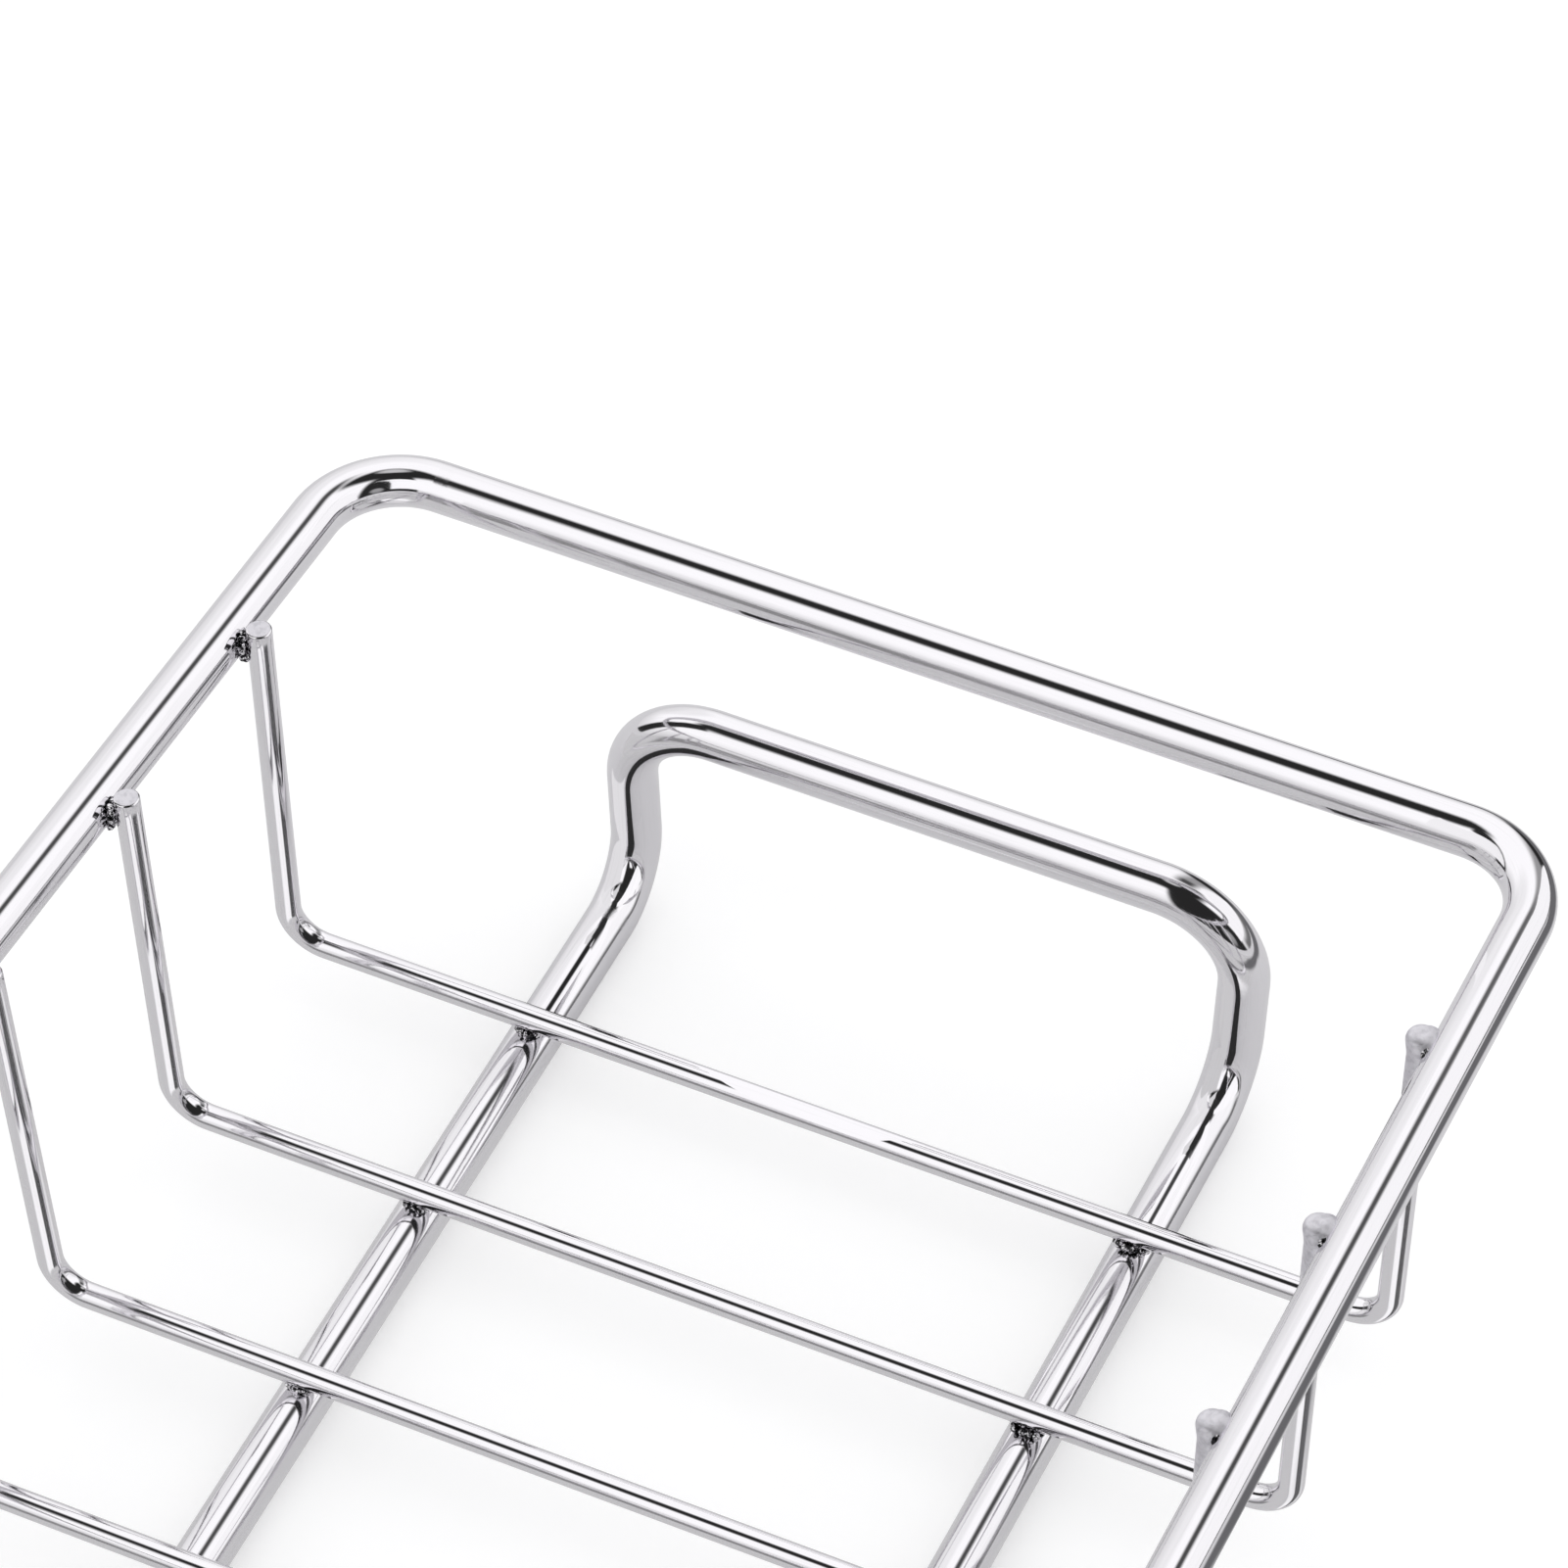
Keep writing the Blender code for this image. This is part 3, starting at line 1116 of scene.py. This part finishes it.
def direction(azimuth, elevation):
    """A direction from its angle in the floor plane, measured from +X, and its height."""
    turn, height = math.radians(azimuth), math.radians(elevation)
    return Vector((
        math.cos(turn) * math.cos(height),
        math.sin(turn) * math.cos(height),
        math.sin(height),
    ))


# Round patches of the room: the direction as a turn from +X and a height, the radius and the
# softness, all in degrees, and the share of the light that is taken or given there
CORNER_CLOTH = ((-36, 12), 8, 8, 0.36)
GAP_CLOTH = ((82, 30), 16, 14, 0.25)
FAR_ROOM = ((80, 2), 15, 8, 1.0)
RIGHT_ROOM = ((45, 0), 44, 14, 0.80)
LAMP_SHADE = ((120, 88), 9, 6, 0.45)
LEFT_SHADE = ((135, 28), 16, 16, 0.14)


def patch(tree, axes, place, radius, softness, share_of_light):
    """A share inside a round patch of the room, and nothing outside it."""
    outer = math.cos(math.radians(radius + softness / 2))
    inner = math.cos(math.radians(radius - softness / 2))
    return share_of_light * tree.rise(tree.towards(direction(*place), axes), outer, inner)


def light_world(scene, studio):
    """White cloth on three sides, an open corner at the near right, and gaps between the cloths."""
    world = bpy.data.worlds.new("studio")
    world.use_nodes = True
    world.node_tree.nodes.clear()
    scene.world = world
    tree = Tree(world.node_tree)
    axes = tree.split(tree.add("ShaderNodeTexCoord", output="Generated"))
    x, y, z = axes

    # The open corner, where the camera stands, and what stands behind it
    side, start = (-0.09, 0.0), (-0.08, 0.06)
    forwards = tree.towards((-0.135, -0.968, -0.212), axes)
    corner = tree.rise(x, *side) * tree.rise(forwards, *start)
    corner = corner * (1.0 - patch(tree, axes, *CORNER_CLOTH))

    # The gap round the lamp overhead
    low_edge, high_edge, start = (0.79, 0.90), (0.985, 0.999), (-0.26, -0.06)
    overhead = tree.band(z, low_edge, high_edge)
    overhead = overhead * tree.rise(tree.towards((0.454, -0.891), (x, y)), *start)

    # The one from there to the far end
    middle, width, start, depth = 0.15, (0.05, 0.24), (0.25, 0.45), 0.95
    far_gap = (1.0 - tree.rise(abs(x - middle), *width)) * tree.rise(y, *start)
    far_gap = far_gap * (depth - patch(tree, axes, *GAP_CLOTH))

    # The one at the left
    width, stop = (0.13, 0.22), (-0.38, -0.30)
    across = tree.towards((-0.169, 0.928, 0.332), axes)
    left_gap = (1.0 - tree.rise(abs(across), *width)) * (1.0 - tree.rise(x, *stop))

    # The dark room low down at the far end and at the right
    top = (0.08, 0.24)
    far_room = patch(tree, axes, *FAR_ROOM)
    right_room = (1.0 - tree.rise(z, *top)) * patch(tree, axes, *RIGHT_ROOM)

    level = 1.0
    for gap in (corner, overhead, far_gap, left_gap, far_room, right_room):
        level = level * (1.0 - gap.maths("MINIMUM", gap, 1.0))
    full_light, table_top = (-0.05, 0.5), (-0.03, 0.0)
    level = level * (tree.rise(z, *full_light) * (1.0 - studio.low_light) + studio.low_light)
    for shade in (LAMP_SHADE, LEFT_SHADE):
        level = level * (1.0 - patch(tree, axes, *shade))
    level = level * (1.0 - studio.seam_light) + studio.seam_light

    below = tree.rise(z, *table_top)
    level = level * below + mirrored_room(tree, x, y, z) * (1.0 - below)

    # The camera and the matt floor see an even white
    seen, scattered = tree.rays("Camera", "Diffuse")
    even = seen + scattered
    strength = level * studio.panel_light * (1.0 - even) + even
    light = tree.add("ShaderNodeBackground", sockets={"Color": WHITE, "Strength": strength})
    tree.node("ShaderNodeOutputWorld", sockets={"Surface": light})


def mirrored_room(tree, x, y, z):
    """What the polished table mirrors: white cloths with dark gaps between them.

    A part of it has its share of the light, and the turns from +X where it starts and ends.
    """
    turn = y.maths("ARCTAN2", y, x) * math.degrees(1.0)

    def part(share_of_light, start, end):
        return share_of_light * tree.band(turn, start, end)

    near_cloth = part(0.50, (-92, -78), (-42, -34))
    right_cloth = part(0.28, (8, 16), (28, 38))
    dark_gap = part(0.55, (-42, -34), (4, 14))
    steep, seam_bottom, seam_top = (-0.66, -0.56), (-0.42, -0.36), (-0.12, -0.05)
    steep_part = (near_cloth + right_cloth - dark_gap) * (1.0 - tree.rise(z, *steep))
    seam = part(0.38, (-132, -124), (-98, -92)) * tree.band(z, seam_bottom, seam_top)
    level = 0.55
    return level + steep_part - seam


OPERATORS = (
    RACK_OT_rim_wire,
    RACK_OT_base_loop,
    RACK_OT_cross_wires,
    RACK_OT_bar_welds,
    RACK_OT_rim_welds,
    RACK_OT_studio,
)


class RACK_PT_rack(bpy.types.Panel):
    """Lists the rack's pieces and its studio"""

    bl_idname = "RACK_PT_rack"
    bl_label = "Rack"
    bl_space_type = "VIEW_3D"
    bl_region_type = "UI"
    bl_category = "Rack"

    def draw(self, context):
        for operator in OPERATORS:
            self.layout.operator(operator.bl_idname)


GROUPS = {"rack_sizes": RackSizes, "steel_finish": SteelFinish, "rack_studio": Studio}


def register():
    for kind in (*GROUPS.values(), *OPERATORS, RACK_PT_rack):
        bpy.utils.register_class(kind)
    for name, group in GROUPS.items():
        setattr(bpy.types.Scene, name, bpy.props.PointerProperty(type=group))


def unregister():
    for name in GROUPS:
        delattr(bpy.types.Scene, name)
    for kind in reversed((*GROUPS.values(), *OPERATORS, RACK_PT_rack)):
        bpy.utils.unregister_class(kind)


def main():
    register()
    for operator in OPERATORS:
        group, name = operator.bl_idname.split(".")
        getattr(getattr(bpy.ops, group), name)()


if __name__ == "__main__":
    main()
